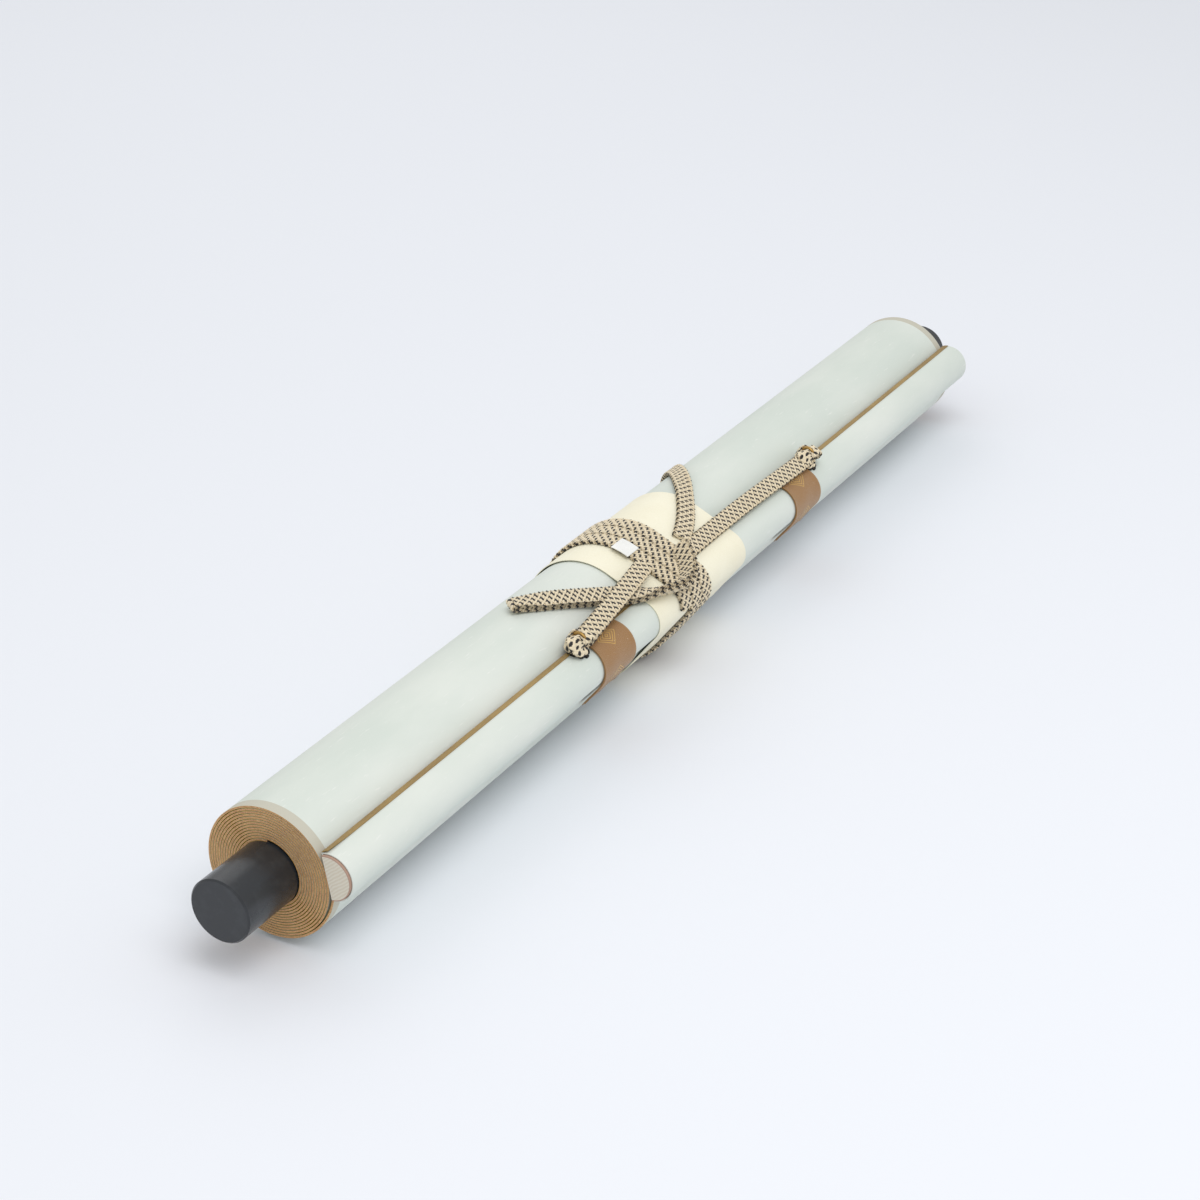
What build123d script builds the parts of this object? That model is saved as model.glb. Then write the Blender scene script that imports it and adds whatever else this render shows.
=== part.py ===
from build123d import *
from math import acos, asin, cos, degrees, hypot, pi, radians, sin
import os

# Rolled and tied hanging scroll.  X runs along the roller, Z is up, and the
# half-round stave lies against the -Y side of the roll.  Units: millimetres.
# The scroll lies on its wrapping cord, whose flattened underside is at z = 0.

# ---- the rolled sheet -------------------------------------------------------
roll_length = 586.0          # width of the mounted sheet, along the roller
roll_radius = 28.2           # outside of the last turn
sheet_thickness = 0.65       # paper backing and cloth, pasted together
turns = 12                   # full turns; half a turn more ends underneath
leave_angle = 33.0           # how far past the bottom the last turn peels off
pocket_wall = 0.4            # single layer that wraps the stave
glue_gap = 0.2               # between the stave and the pocket around it

# ---- roller core and knobs --------------------------------------------------
knob_radius = 13.5
knob_reach = 30.5            # how far a knob stands out of the roll
knob_inset = 6.0             # how far it goes into the roll
knob_chamfer = 0.7
tenon_radius = 6.0           # reduced end of the core that carries a knob
tenon_length = 18.0
tenon_fit = 0.2              # radial clearance in the knob's bore
bore_floor_gap = 1.0         # between the tenon's end and the bore's floor
roller_clearance = 0.25      # between the roller and the first turn

# ---- stave ------------------------------------------------------------------
stave_length = 588.0
stave_width = 19.0           # flat face
stave_height = 10.5          # from the flat face to the crown
stave_angle = 11.0           # tilt of its contact with the roll above level
stave_lift = 1.5             # middle of the flat face above the contact line
stave_seat_gap = 0.2         # between the pocket and the roll

# ---- eyelets ----------------------------------------------------------------
eyelet_spacing = 222.6       # between the two eyelets
eyelet_angle = 94.0          # where they stand on the stave, from +Y
eyelet_wire = 0.8            # wire radius
eyelet_ring = 3.4            # radius of the loop's centre line
eyelet_shank = 7.0           # length driven into the stave
shank_fit = 0.15
washer_radius = 5.0
washer_thickness = 0.6
washer_lobes = 8
washer_seat_gap = 0.2

# ---- ribbons ----------------------------------------------------------------
ribbon_width = 26.0
ribbon_thickness = 0.8
ribbon_spacing = 186.0       # between the two middles
ribbon_start = 58.0          # angle on the stave where the ribbon comes over
ribbon_tail = 15.0           # straight end that runs on under the stave
ribbon_gap = 0.2

# ---- protective paper band --------------------------------------------------
band_width = 83.0
band_middle = -15.0
band_thickness = 0.35
layer_gap = 0.25             # between one wrapped layer and the next
slack = 0.45                 # how far the wrapped layers clear the roll

# ---- cords (a flat braid) ---------------------------------------------------
cord_width = 9.2
cord_thickness = 1.8
cord_turns = 3               # wrapping cord, side by side
winding_middle = -25.0
pressed_thickness = 1.0      # wrapping cord where the roll lies on it
lead_lift = 4.8              # left lead of the hanging cord, over the bight
lead_rise = 2.0              # right lead where it climbs to its knot
lead_end_gap = 0.3
bight_radius = 1.85          # doubled cord, as one round bundle
tail_radius = 1.5
tape_length = 10.0
tape_width = 9.0
tape_thickness = 0.4
knot_radii = (7.2, 5.4, 4.0)
knot_rise = 5.2              # middle of a knot above the stave's cover
knot_ring_gap = 0.3

# Routes on the wrapped outline, chosen by hand: (x, distance along the
# outline from the crown of the stave towards the top of the roll, height).
bight_route = [
    (-111.0, 38.0, 2.6), (-104.0, 32.5, 2.5), (-92.0, 25.5, 2.4), (-79.0, 18.2, 2.2),
    (-67.0, 11.4, 2.2), (-57.0, 4.6, 2.8), (-47.0, -0.6, 4.2), (-36.0, -3.4, 5.4),
    (-26.0, -1.6, 5.4), (-18.0, 3.8, 5.3), (-13.5, 10.4, 5.2)]
tail_route = [
    (-4.0, 13.6, 3.0), (5.0, 16.6, 3.0), (19.0, 24.2, 3.0), (34.0, 33.2, 2.9),
    (48.0, 42.6, 2.8), (60.0, 52.6, 2.6), (69.0, 64.0, 2.5), (74.5, 76.0, 2.4),
    (77.0, 88.0, 2.4)]

# ---- derived sizes ----------------------------------------------------------
band_base = layer_gap
cord_base = band_base + band_thickness + layer_gap
stack = cord_base + cord_thickness
wrap_radius = roll_radius + slack
first_turn_radius = knob_radius + roller_clearance
pitch = (roll_radius - sheet_thickness - first_turn_radius) / turns
winding_width = cord_turns * cord_width

# stave position relative to the roller axis, in the (y, z) plane
contact = radians(180.0 - stave_angle)
out_y, out_z = cos(contact), sin(contact)
up_y, up_z = sin(contact), -cos(contact)
roll_side = roll_radius - pitch / 2 + pitch / 2 * sin(contact)
flat_distance = roll_side + stave_seat_gap + pocket_wall + glue_gap
stave_radius = (stave_width ** 2 / 4 + stave_height ** 2) / (2 * stave_height)
centre_distance = flat_distance + stave_height - stave_radius
stave_y = out_y * centre_distance + up_y * stave_lift
stave_z = out_z * centre_distance + up_z * stave_lift
cover = glue_gap + pocket_wall
cover_radius = stave_radius + cover

# place of the roller axis: the object's box is centred on Y and stands on z = 0
front_reach = -stave_y + cover_radius + stack
back_reach = wrap_radius + stack
axis_y = (front_reach - back_reach) / 2
axis_z = wrap_radius + cord_base + pressed_thickness
section = Plane(origin=(0, axis_y, axis_z), x_dir=(0, 1, 0), z_dir=(1, 0, 0))

# the convex outline of roll and stave, and the two lines that bridge them
centre_gap = hypot(stave_y, stave_z)
towards = pi - asin(stave_z / centre_gap)
spread = acos((wrap_radius - cover_radius) / centre_gap)
upper_normal = towards - spread
lower_normal = towards + spread
bridge = centre_gap * sin(spread)


def polar(centre_y, centre_z, radius, angle):
    """Point in the section plane at an angle in radians from +Y."""
    return (centre_y + radius * cos(angle), centre_z + radius * sin(angle))


def arc(centre, radius, start, end):
    """Arc between two angles in radians, through the middle of the two."""
    middle = (start + end) / 2
    return ThreePointArc(
        polar(*centre, radius, start),
        polar(*centre, radius, middle),
        polar(*centre, radius, end))


def along(face, length, middle=0.0):
    """Extrude a section face along the roller, centred on a place in X."""
    return Pos(middle, 0, 0) * extrude(section * face, amount=length / 2, both=True)


def outline(offset):
    """Filled convex outline of roll and stave, grown by an offset."""
    roll = (0.0, 0.0)
    stave = (stave_y, stave_z)
    roll_r = wrap_radius + offset
    stave_r = cover_radius + offset
    lines = [
        arc(stave, stave_r, upper_normal, lower_normal),
        Line(polar(*stave, stave_r, lower_normal), polar(*roll, roll_r, lower_normal)),
        arc(roll, roll_r, lower_normal, upper_normal + 2 * pi),
        Line(polar(*roll, roll_r, upper_normal), polar(*stave, stave_r, upper_normal))]
    return make_face(Wire(lines))


def on_outline(x, run, height):
    """World point at a run along the outline and a height above it."""
    roll_r = wrap_radius + height
    stave_r = cover_radius + height
    if run < 0:
        angle = upper_normal - run / stave_r
        y, z = polar(stave_y, stave_z, stave_r, angle)
    elif run < bridge:
        y, z = polar(stave_y, stave_z, stave_r, upper_normal)
        y += run * sin(upper_normal)
        z -= run * cos(upper_normal)
    else:
        angle = upper_normal - (run - bridge) / roll_r
        y, z = polar(0.0, 0.0, roll_r, angle)
    return Vector(x, axis_y + y, axis_z + z)


def turn_arcs(offset):
    """Half-turn arcs of the spiral, from its start to where it peels off."""
    arcs = []
    for half in range(2 * turns + 1):
        radius = first_turn_radius + sheet_thickness / 2 + half * pitch / 2 + offset
        if half % 2 == 0:
            arcs.append(arc((0.0, 0.0), radius, pi / 2, -pi / 2))
        else:
            arcs.append(arc((0.0, pitch / 2), radius, -pi / 2, -3 * pi / 2))
    return arcs


def span_arcs(offset):
    """Last stretch of the sheet: off the roll and up to the stave's lower edge."""
    half = 2 * turns + 1
    radius = first_turn_radius + sheet_thickness / 2 + half * pitch / 2
    leave = -pi / 2 - radians(leave_angle)
    start_y, start_z = polar(0.0, pitch / 2, radius, leave)
    flat = flat_distance - cover
    half_width = (cover_radius ** 2 - (centre_distance - flat) ** 2) ** 0.5
    edge_y = out_y * flat - up_y * (half_width - stave_lift)
    edge_z = out_z * flat - up_z * (half_width - stave_lift)
    edge_y += out_y * sheet_thickness / 2
    edge_z += out_z * sheet_thickness / 2
    chord_y, chord_z = edge_y - start_y, edge_z - start_z
    inward = -(chord_y * cos(leave) + chord_z * sin(leave))
    swing = (chord_y ** 2 + chord_z ** 2) / (2 * inward)
    centre = (start_y - swing * cos(leave), start_z - swing * sin(leave))
    end = -acos((edge_y - centre[0]) / swing)
    return [
        arc((0.0, pitch / 2), radius + offset, -pi / 2, leave),
        arc(centre, swing + offset, leave, end)]


def half_round(grow):
    """Half-round section of the stave, grown by an offset on every side."""
    flat = flat_distance - grow
    crown = flat_distance + stave_height + grow
    half_width = ((stave_radius + grow) ** 2 - (centre_distance - flat) ** 2) ** 0.5
    low_y = out_y * flat + up_y * (stave_lift - half_width)
    low_z = out_z * flat + up_z * (stave_lift - half_width)
    high_y = out_y * flat + up_y * (stave_lift + half_width)
    high_z = out_z * flat + up_z * (stave_lift + half_width)
    top_y = out_y * crown + up_y * stave_lift
    top_z = out_z * crown + up_z * stave_lift
    lines = [
        Line((low_y, low_z), (high_y, high_z)),
        ThreePointArc((high_y, high_z), (top_y, top_z), (low_y, low_z))]
    return make_face(Wire(lines))


def shank_hole(x, radius):
    """Cylinder along an eyelet's shank, from the blind end outwards."""
    tip = stave_radius - eyelet_shank
    y, z = polar(stave_y, stave_z, tip, radians(eyelet_angle))
    plane = Plane(
        origin=(x, axis_y + y, axis_z + z),
        x_dir=(1, 0, 0),
        z_dir=(0, cos(radians(eyelet_angle)), sin(radians(eyelet_angle))))
    length = eyelet_shank + cover + washer_seat_gap + washer_thickness + eyelet_wire
    return extrude(plane * Circle(radius), amount=length)


def make_sheet():
    """Rolled sheet: spiral turns, peeled-off span and the pocket on the stave."""
    outer = turn_arcs(sheet_thickness / 2) + span_arcs(sheet_thickness / 2)
    inner = turn_arcs(-sheet_thickness / 2) + span_arcs(-sheet_thickness / 2)
    start_cap = Line(inner[0] @ 0, outer[0] @ 0)
    end_cap = Line(outer[-1] @ 1, inner[-1] @ 1)
    strip = make_face(Wire(outer + [end_cap] + inner + [start_cap]))
    pocket = half_round(cover) - half_round(glue_gap)
    sheet = along(strip, roll_length) + along(pocket, roll_length)
    for side in (-1, 1):
        sheet -= shank_hole(side * eyelet_spacing / 2, eyelet_wire + shank_fit)
    return sheet


def make_stave():
    """Half-round wooden stave with the two blind holes for the eyelets."""
    stave = along(half_round(0.0), stave_length)
    for side in (-1, 1):
        stave -= shank_hole(side * eyelet_spacing / 2, eyelet_wire + shank_fit)
    return stave


def make_core():
    """Roller core with a tenon turned on each end."""
    shoulder = roll_length - 2 * knob_inset
    core = along(Circle(knob_radius), shoulder)
    return core + along(Circle(tenon_radius), shoulder + 2 * tenon_length)


def make_knob(side):
    """Roller knob, bored for the core's tenon, chamfered at its face."""
    length = knob_reach + knob_inset
    inner_face = roll_length / 2 - knob_inset
    knob = along(Circle(knob_radius), length, side * (inner_face + length / 2))
    rim = knob.edges().group_by(Axis.X)[-1 if side > 0 else 0]
    knob = chamfer(rim, knob_chamfer)
    depth = tenon_length + bore_floor_gap
    return knob - along(Circle(tenon_radius + tenon_fit), depth, side * (inner_face + depth / 2))


def eyelet_plane(x, height):
    """Plane at an eyelet, its Z pointing out of the stave."""
    radius = cover_radius + height
    y, z = polar(stave_y, stave_z, radius, radians(eyelet_angle))
    return Plane(
        origin=(x, axis_y + y, axis_z + z),
        x_dir=(1, 0, 0),
        z_dir=(0, cos(radians(eyelet_angle)), sin(radians(eyelet_angle))))


def ring_height():
    """Height of the eyelet loop's centre above the stave's cover."""
    return washer_seat_gap + washer_thickness + 2 * eyelet_wire + eyelet_ring


def make_loop(x, wire):
    """Closed loop of an eyelet, standing across the stave's length."""
    plane = eyelet_plane(x, ring_height())
    upright = Plane(origin=plane.origin, x_dir=plane.z_dir, z_dir=(1, 0, 0))
    return upright * Torus(eyelet_ring, wire)


def make_eyelet(x):
    """Eyelet: wire loop on a shank that is driven into the stave."""
    tip = eyelet_plane(x, -cover - eyelet_shank)
    length = eyelet_shank + cover + ring_height() - eyelet_ring
    shank = extrude(tip * Circle(eyelet_wire), amount=length)
    return shank + make_loop(x, eyelet_wire)


def make_washer(x):
    """Scalloped washer, bent to the stave's round side."""
    base = cover_radius + washer_seat_gap
    blank = Circle(washer_radius)
    for lobe in range(washer_lobes):
        angle = radians(360.0 * (lobe + 0.5) / washer_lobes)
        notch_y, notch_z = polar(0.0, 0.0, washer_radius * 1.08, angle)
        blank -= Pos(notch_y, notch_z) * Circle(washer_radius * 0.2)
    blank -= Circle(eyelet_wire + shank_fit)
    plug = extrude(eyelet_plane(x, -cover_radius / 2) * blank, amount=cover_radius)
    skin = along(Pos(stave_y, stave_z) * Circle(base + washer_thickness), 4 * washer_radius, x)
    skin -= along(Pos(stave_y, stave_z) * Circle(base), 4 * washer_radius, x)
    return plug & skin


def make_ribbon(x):
    """Cloth ribbon, folded over the stave and running on underneath it."""
    centre = (stave_y, stave_z)
    radius = cover_radius + ribbon_gap
    start = radians(ribbon_start)
    lines = []
    for rise in (0.0, ribbon_thickness):
        edge = polar(*centre, radius + rise, lower_normal)
        tail = (
            edge[0] + ribbon_tail * -sin(lower_normal),
            edge[1] + ribbon_tail * cos(lower_normal))
        lines.append((arc(centre, radius + rise, start, lower_normal), Line(edge, tail), tail))
    first = polar(*centre, radius, start)
    second = polar(*centre, radius + ribbon_thickness, start)
    wire = Wire([
        lines[0][0], lines[0][1], Line(lines[0][2], lines[1][2]),
        lines[1][1], lines[1][0], Line(second, first)])
    return along(make_face(wire), ribbon_width, x)


def make_layer(base, thickness, width, middle):
    """Closed layer around roll and stave at a height above the outline."""
    ring = outline(base + thickness) - outline(base)
    return along(ring, width, middle)


def make_band():
    """Card band around roll and stave, under the wrapping cord."""
    return make_layer(band_base, band_thickness, band_width, band_middle)


def make_winding():
    """Turns of the wrapping cord as one closed band, pressed flat underneath."""
    ring = make_layer(cord_base, cord_thickness, winding_width, winding_middle)
    floor = Pos(winding_middle, 0, -50) * Box(2 * winding_width, 400, 100)
    return ring - floor


def make_lead(start, end):
    """Flat stretch of the hanging cord, straight along the upper bridge."""
    first = on_outline(*start)
    last = on_outline(*end)
    direction = (last - first).normalized()
    normal = Vector(0, cos(upper_normal), sin(upper_normal))
    normal = (normal - direction * normal.dot(direction)).normalized()
    plane = Plane(origin=first, x_dir=direction, z_dir=normal)
    length = (last - first).length
    strip = Pos(length / 2, 0) * Rectangle(length, cord_width)
    return extrude(plane * strip, amount=cord_thickness)


def make_tube(route, radius, name):
    """Round tube through a route, its runs joined by tangent arcs."""
    points = [on_outline(*stop) for stop in route]
    runs = [(b - a).length for a, b in zip(points, points[1:])]
    radii = []
    for i in range(1, len(points) - 1):
        before = points[i] - points[i - 1]
        after = points[i + 1] - points[i]
        half_turn = radians(before.get_angle(after)) / 2
        radii.append(0.45 * min(runs[i - 1], runs[i]) * cos(half_turn) / sin(half_turn))
    path = FilletPolyline(*points, radius=radii)
    profile = Plane(origin=points[0], z_dir=(points[1] - points[0])) * Circle(radius)
    tube = sweep(profile, path=path)
    share = tube.volume / (pi * radius ** 2 * path.length)
    print(name, "length", round(path.length, 1), "radii", [round(r, 1) for r in radii])
    print(name, "volume over section times length", round(share, 4))
    return tube


def make_knot(x):
    """Cord knot tied through an eyelet, as one soft lump around the loop."""
    plane = eyelet_plane(x, knot_rise)
    sphere = Sphere(1.0)
    lump = plane * scale(sphere, by=knot_radii)
    lump -= make_loop(x, eyelet_wire + knot_ring_gap)
    return lump - shank_hole(x, eyelet_wire + knot_ring_gap)


def make_tape():
    """White tape round the wrapping cord's end, lying on the winding."""
    base = stack + layer_gap
    shell = make_layer(base, tape_thickness, tape_length, -36.0)
    seat = on_outline(-36.0, 26.6, base)
    normal = Vector(0, cos(upper_normal), sin(upper_normal))
    cutter = Plane(origin=seat, x_dir=(1, 0, 0), z_dir=normal) * Box(2 * tape_length, tape_width, 6)
    return shell & cutter


def write(name, shape):
    """Write one sub-part as parts/NAME.step."""
    solids = shape.solids()
    solid = solids[0] if len(solids) == 1 else Compound(children=list(solids))
    print(name, len(solids), round(shape.volume / 1000, 2), "cm3")
    export_step(solid, f"parts/{name}.step")


def build():
    """Build every sub-part and write it."""
    os.makedirs("parts", exist_ok=True)
    eyelet_x = eyelet_spacing / 2
    ribbon_x = ribbon_spacing / 2
    winding_left = winding_middle - winding_width / 2
    winding_right = winding_middle + winding_width / 2
    write("scroll_sheet", make_sheet())
    write("stave", make_stave())
    write("roller_core", make_core())
    write("left_knob", make_knob(-1))
    write("right_knob", make_knob(1))
    for side, sign in (("left", -1), ("right", 1)):
        write(f"{side}_eyelet", make_eyelet(sign * eyelet_x))
        write(f"{side}_washer", make_washer(sign * eyelet_x))
        write(f"{side}_ribbon", make_ribbon(sign * ribbon_x))
        write(f"{side}_cord_knot", make_knot(sign * eyelet_x))
    write("paper_band", make_band())
    write("wrapping_cord_winding", make_winding())
    write("wrapping_cord_bight", make_tube(bight_route, bight_radius, "bight"))
    write("wrapping_cord_tail", make_tube(tail_route, tail_radius, "tail"))
    left_end = (winding_left - lead_end_gap, 13.8, lead_lift)
    right_end = (winding_right + lead_end_gap, 7.2, cord_base)
    left = make_lead((-eyelet_x, 4.6, lead_lift), left_end)
    right = make_lead(right_end, (eyelet_x, 4.6, cord_base + lead_rise))
    write("hanging_cord_left", left - make_knot_cut(-eyelet_x))
    write("hanging_cord_right", right - make_knot_cut(eyelet_x))
    write("cord_end_tape", make_tape())


def make_knot_cut(x):
    """Room that a knot and its clearance take out of a lead."""
    grown = tuple(radius + lead_end_gap for radius in knot_radii)
    return eyelet_plane(x, knot_rise) * scale(Sphere(1.0), by=grown)


build()
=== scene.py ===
import logging
import math
from dataclasses import dataclass, field
from enum import Enum
from typing import Callable, Optional, Sequence

import bpy
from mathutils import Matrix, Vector


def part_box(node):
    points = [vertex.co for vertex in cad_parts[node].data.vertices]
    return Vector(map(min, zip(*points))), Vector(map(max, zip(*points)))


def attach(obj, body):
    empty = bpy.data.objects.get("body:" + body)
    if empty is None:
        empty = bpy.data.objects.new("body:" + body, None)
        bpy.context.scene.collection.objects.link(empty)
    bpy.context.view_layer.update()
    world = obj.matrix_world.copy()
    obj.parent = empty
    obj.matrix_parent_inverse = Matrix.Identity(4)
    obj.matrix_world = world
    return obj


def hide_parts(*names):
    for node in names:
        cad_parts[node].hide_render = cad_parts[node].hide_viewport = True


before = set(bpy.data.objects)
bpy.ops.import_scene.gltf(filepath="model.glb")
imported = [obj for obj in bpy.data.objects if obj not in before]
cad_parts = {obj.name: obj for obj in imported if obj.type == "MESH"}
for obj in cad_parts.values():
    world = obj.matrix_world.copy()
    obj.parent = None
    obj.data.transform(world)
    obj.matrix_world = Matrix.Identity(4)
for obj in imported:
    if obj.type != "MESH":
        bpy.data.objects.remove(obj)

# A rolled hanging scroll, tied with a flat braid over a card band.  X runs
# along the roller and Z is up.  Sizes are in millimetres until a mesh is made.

log = logging.getLogger("hanging_scroll")
logging.basicConfig(level=logging.INFO)

MM = 0.001
BODY = "root"
FULL = 2.0 * math.pi

Point2 = tuple[float, float]
Colour = tuple[float, float, float]


def linear(red: int, green: int, blue: int) -> tuple[float, float, float, float]:
    """Scene-linear colour, with alpha 1, of a display colour from 0 to 255."""
    def one(value: int) -> float:
        share = value / 255.0
        return share / 12.92 if share <= 0.04045 else ((share + 0.055) / 1.055) ** 2.4
    return (one(red), one(green), one(blue), 1.0)


class Graph:
    """Node tree of one material, with short ways to add and join nodes."""

    def __init__(self, name: str) -> None:
        """Make an empty material that ends in a Principled shader."""
        self.material = bpy.data.materials.new(name)
        self.material.use_nodes = True
        self.tree = self.material.node_tree
        self.shader = self.tree.nodes["Principled BSDF"]

    def add(self, kind: str, inputs: Optional[dict] = None, **settings: object) -> bpy.types.Node:
        """Add a node.

        Args:
            kind: Node type, without the ShaderNode prefix.
            inputs: Value or output socket for each named or numbered input.
            settings: Properties of the node.

        Returns:
            The new node.
        """
        node = self.tree.nodes.new("ShaderNode" + kind)
        for key, value in settings.items():
            setattr(node, key, value)
        for key, value in (inputs or {}).items():
            self.join(value, node.inputs[key])
        return node

    def join(self, value: object, socket: bpy.types.NodeSocket) -> None:
        """Link an output to a socket, or set the socket's value."""
        if isinstance(value, bpy.types.NodeSocket):
            self.tree.links.new(value, socket)
        else:
            socket.default_value = value

    def shade(self, **inputs: object) -> None:
        """Set shader inputs by name, with underscores for spaces."""
        for key, value in inputs.items():
            self.join(value, self.shader.inputs[key.replace("_", " ")])

    def maths(self, operation: str, first: object, second: object = 0.0) -> bpy.types.NodeSocket:
        """Output of a Math node."""
        return self.add("Math", {0: first, 1: second}, operation=operation).outputs[0]

    def place(self) -> bpy.types.NodeSocket:
        """Object coordinates."""
        return self.add("TexCoord").outputs["Object"]

    def uv(self) -> bpy.types.NodeSocket:
        """UV coordinates, which are millimetres along and across."""
        return self.add("TexCoord").outputs["UV"]

    def noise(self, scale: float, detail: float = 3.0, stretch: Colour = (1, 1, 1),
              vector: Optional[bpy.types.NodeSocket] = None) -> bpy.types.NodeSocket:
        """Noise from 0 to 1, on object coordinates unless a vector is given."""
        mapping = self.add("Mapping", {"Vector": vector or self.place(), "Scale": stretch})
        inputs = {"Vector": mapping.outputs[0], "Scale": scale, "Detail": detail}
        return self.add("TexNoise", inputs).outputs[0]

    def blend(self, share: object, first: object, second: object) -> bpy.types.NodeSocket:
        """Colour between two colours."""
        node = self.add("Mix", data_type="RGBA")
        self.join(share, node.inputs[0])
        self.join(first, node.inputs[6])
        self.join(second, node.inputs[7])
        return node.outputs[2]

    def ramp(self, value: object, low: float, high: float) -> bpy.types.NodeSocket:
        """Value mapped from low..high to 0..1 and held there."""
        inputs = {"Value": value, "From Min": low, "From Max": high}
        return self.add("MapRange", inputs, clamp=True).outputs[0]

    def bump(self, height: object, distance: float, strength: float = 1.0) -> None:
        """Join a height to the shader's normal."""
        node = self.add("Bump", {"Height": height, "Distance": distance, "Strength": strength})
        self.shade(Normal=node.outputs[0])


# ---- finishes ---------------------------------------------------------------

@dataclass(frozen=True)
class Mottled:
    """Finish of two close colours in soft patches, with a fine grain."""

    name: str
    light: tuple
    dark: tuple
    roughness: float = 0.7
    patch: float = 60.0
    grain: float = 1400.0
    grain_depth: float = 0.00008
    stretch: Colour = (1.0, 1.0, 1.0)
    metallic: float = 0.0

    def make(self) -> bpy.types.Material:
        """Material of the finish."""
        graph = Graph(self.name)
        patches = graph.noise(self.patch, 4.0, self.stretch)
        fine = graph.noise(self.grain, 3.0, self.stretch)
        share = graph.maths("ADD", graph.maths("MULTIPLY", patches, 0.6),
                            graph.maths("MULTIPLY", fine, 0.4))
        colour = graph.blend(graph.ramp(share, 0.3, 0.7), self.dark, self.light)
        graph.shade(Base_Color=colour, Roughness=self.roughness, Metallic=self.metallic)
        graph.bump(fine, self.grain_depth)
        return graph.material


@dataclass(frozen=True)
class BackPaper:
    """Soft backing paper with cloth strips along the two side edges."""

    half_length: float
    strip: float = 5.0
    name: str = "backing_paper"
    paper: tuple = linear(225, 229, 222)
    cloud: tuple = linear(209, 217, 209)
    edge: tuple = linear(196, 193, 178)

    def make(self) -> bpy.types.Material:
        """Material of the finish."""
        graph = Graph(self.name)
        place = graph.place()
        along = graph.maths("ABSOLUTE", graph.add("SeparateXYZ", {0: place}).outputs[0])
        start = (self.half_length - self.strip) * MM
        clouds = graph.noise(28.0, 5.0, (0.35, 1.0, 1.0))
        fibres = graph.noise(900.0, 2.0, (0.15, 1.0, 1.0))
        paper = graph.blend(graph.ramp(clouds, 0.35, 0.68), self.cloud, self.paper)
        paper = graph.blend(graph.ramp(fibres, 0.66, 0.95), paper, linear(242, 242, 238))
        band = graph.ramp(along, start, start + 0.0002)
        graph.shade(Base_Color=graph.blend(band, paper, self.edge), Roughness=0.82)
        graph.bump(graph.maths("ADD", clouds, graph.maths("MULTIPLY", fibres, 0.25)), 0.0004, 0.5)
        return graph.material


@dataclass(frozen=True)
class Brocade:
    """Brown figured cloth with nested gold lozenges and pale flecks."""

    repeat_across: float = 26.0
    repeat_along: float = 20.0
    ground: tuple = linear(160, 118, 68)
    gold: tuple = linear(222, 180, 92)

    def make(self) -> bpy.types.Material:
        """Material of the finish, laid by its UV in millimetres."""
        graph = Graph("figured_cloth")
        parts = graph.add("SeparateXYZ", {0: graph.uv()})
        across = graph.maths("MULTIPLY", parts.outputs[0], 1.0 / self.repeat_across)
        along = graph.maths("MULTIPLY", parts.outputs[1], 1.0 / self.repeat_along)
        one = graph.maths("PINGPONG", across, 0.5)
        two = graph.maths("PINGPONG", along, 0.5)
        lozenge = graph.maths("SUBTRACT", 1.0, graph.maths("ADD", one, two))
        rings = graph.maths("PINGPONG", graph.maths("MULTIPLY", lozenge, 14.0), 0.5)
        inside = graph.maths("LESS_THAN", lozenge, 0.3)
        figure = graph.maths("MULTIPLY", graph.ramp(rings, 0.3, 0.4), inside)
        threads = graph.add("TexWave", {"Vector": graph.uv(), "Scale": 1.1, "Distortion": 0.3})
        flecks = graph.ramp(graph.noise(1.1, 1.0, vector=graph.uv()), 0.74, 0.78)
        cloth = graph.blend(figure, self.ground, self.gold)
        shade = graph.maths("MULTIPLY", threads.outputs["Fac"], 0.25)
        cloth = graph.blend(shade, cloth, linear(134, 96, 54))
        cloth = graph.blend(flecks, cloth, linear(236, 226, 204))
        graph.shade(Base_Color=cloth, Roughness=0.5)
        graph.shader.inputs["Sheen Weight"].default_value = 0.2
        height = graph.maths("ADD", graph.maths("MULTIPLY", threads.outputs["Fac"], 0.5), figure)
        graph.bump(height, 0.00012, 0.8)
        return graph.material


@dataclass(frozen=True)
class SheetEdge:
    """Cut edge of the pasted sheet: gold and brown threads with pink flecks."""

    gold: tuple = linear(206, 160, 118)
    brown: tuple = linear(176, 126, 96)
    pink: tuple = linear(214, 176, 150)

    def make(self) -> bpy.types.Material:
        """Material of the finish."""
        graph = Graph("sheet_edge")
        large = graph.noise(1400.0, 2.0)
        small = graph.noise(2600.0, 2.0)
        colour = graph.blend(graph.ramp(large, 0.42, 0.6), self.brown, self.gold)
        colour = graph.blend(graph.ramp(small, 0.58, 0.66), colour, self.pink)
        graph.shade(Base_Color=colour, Roughness=0.6)
        graph.bump(small, 0.0001, 0.6)
        return graph.material


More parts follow.
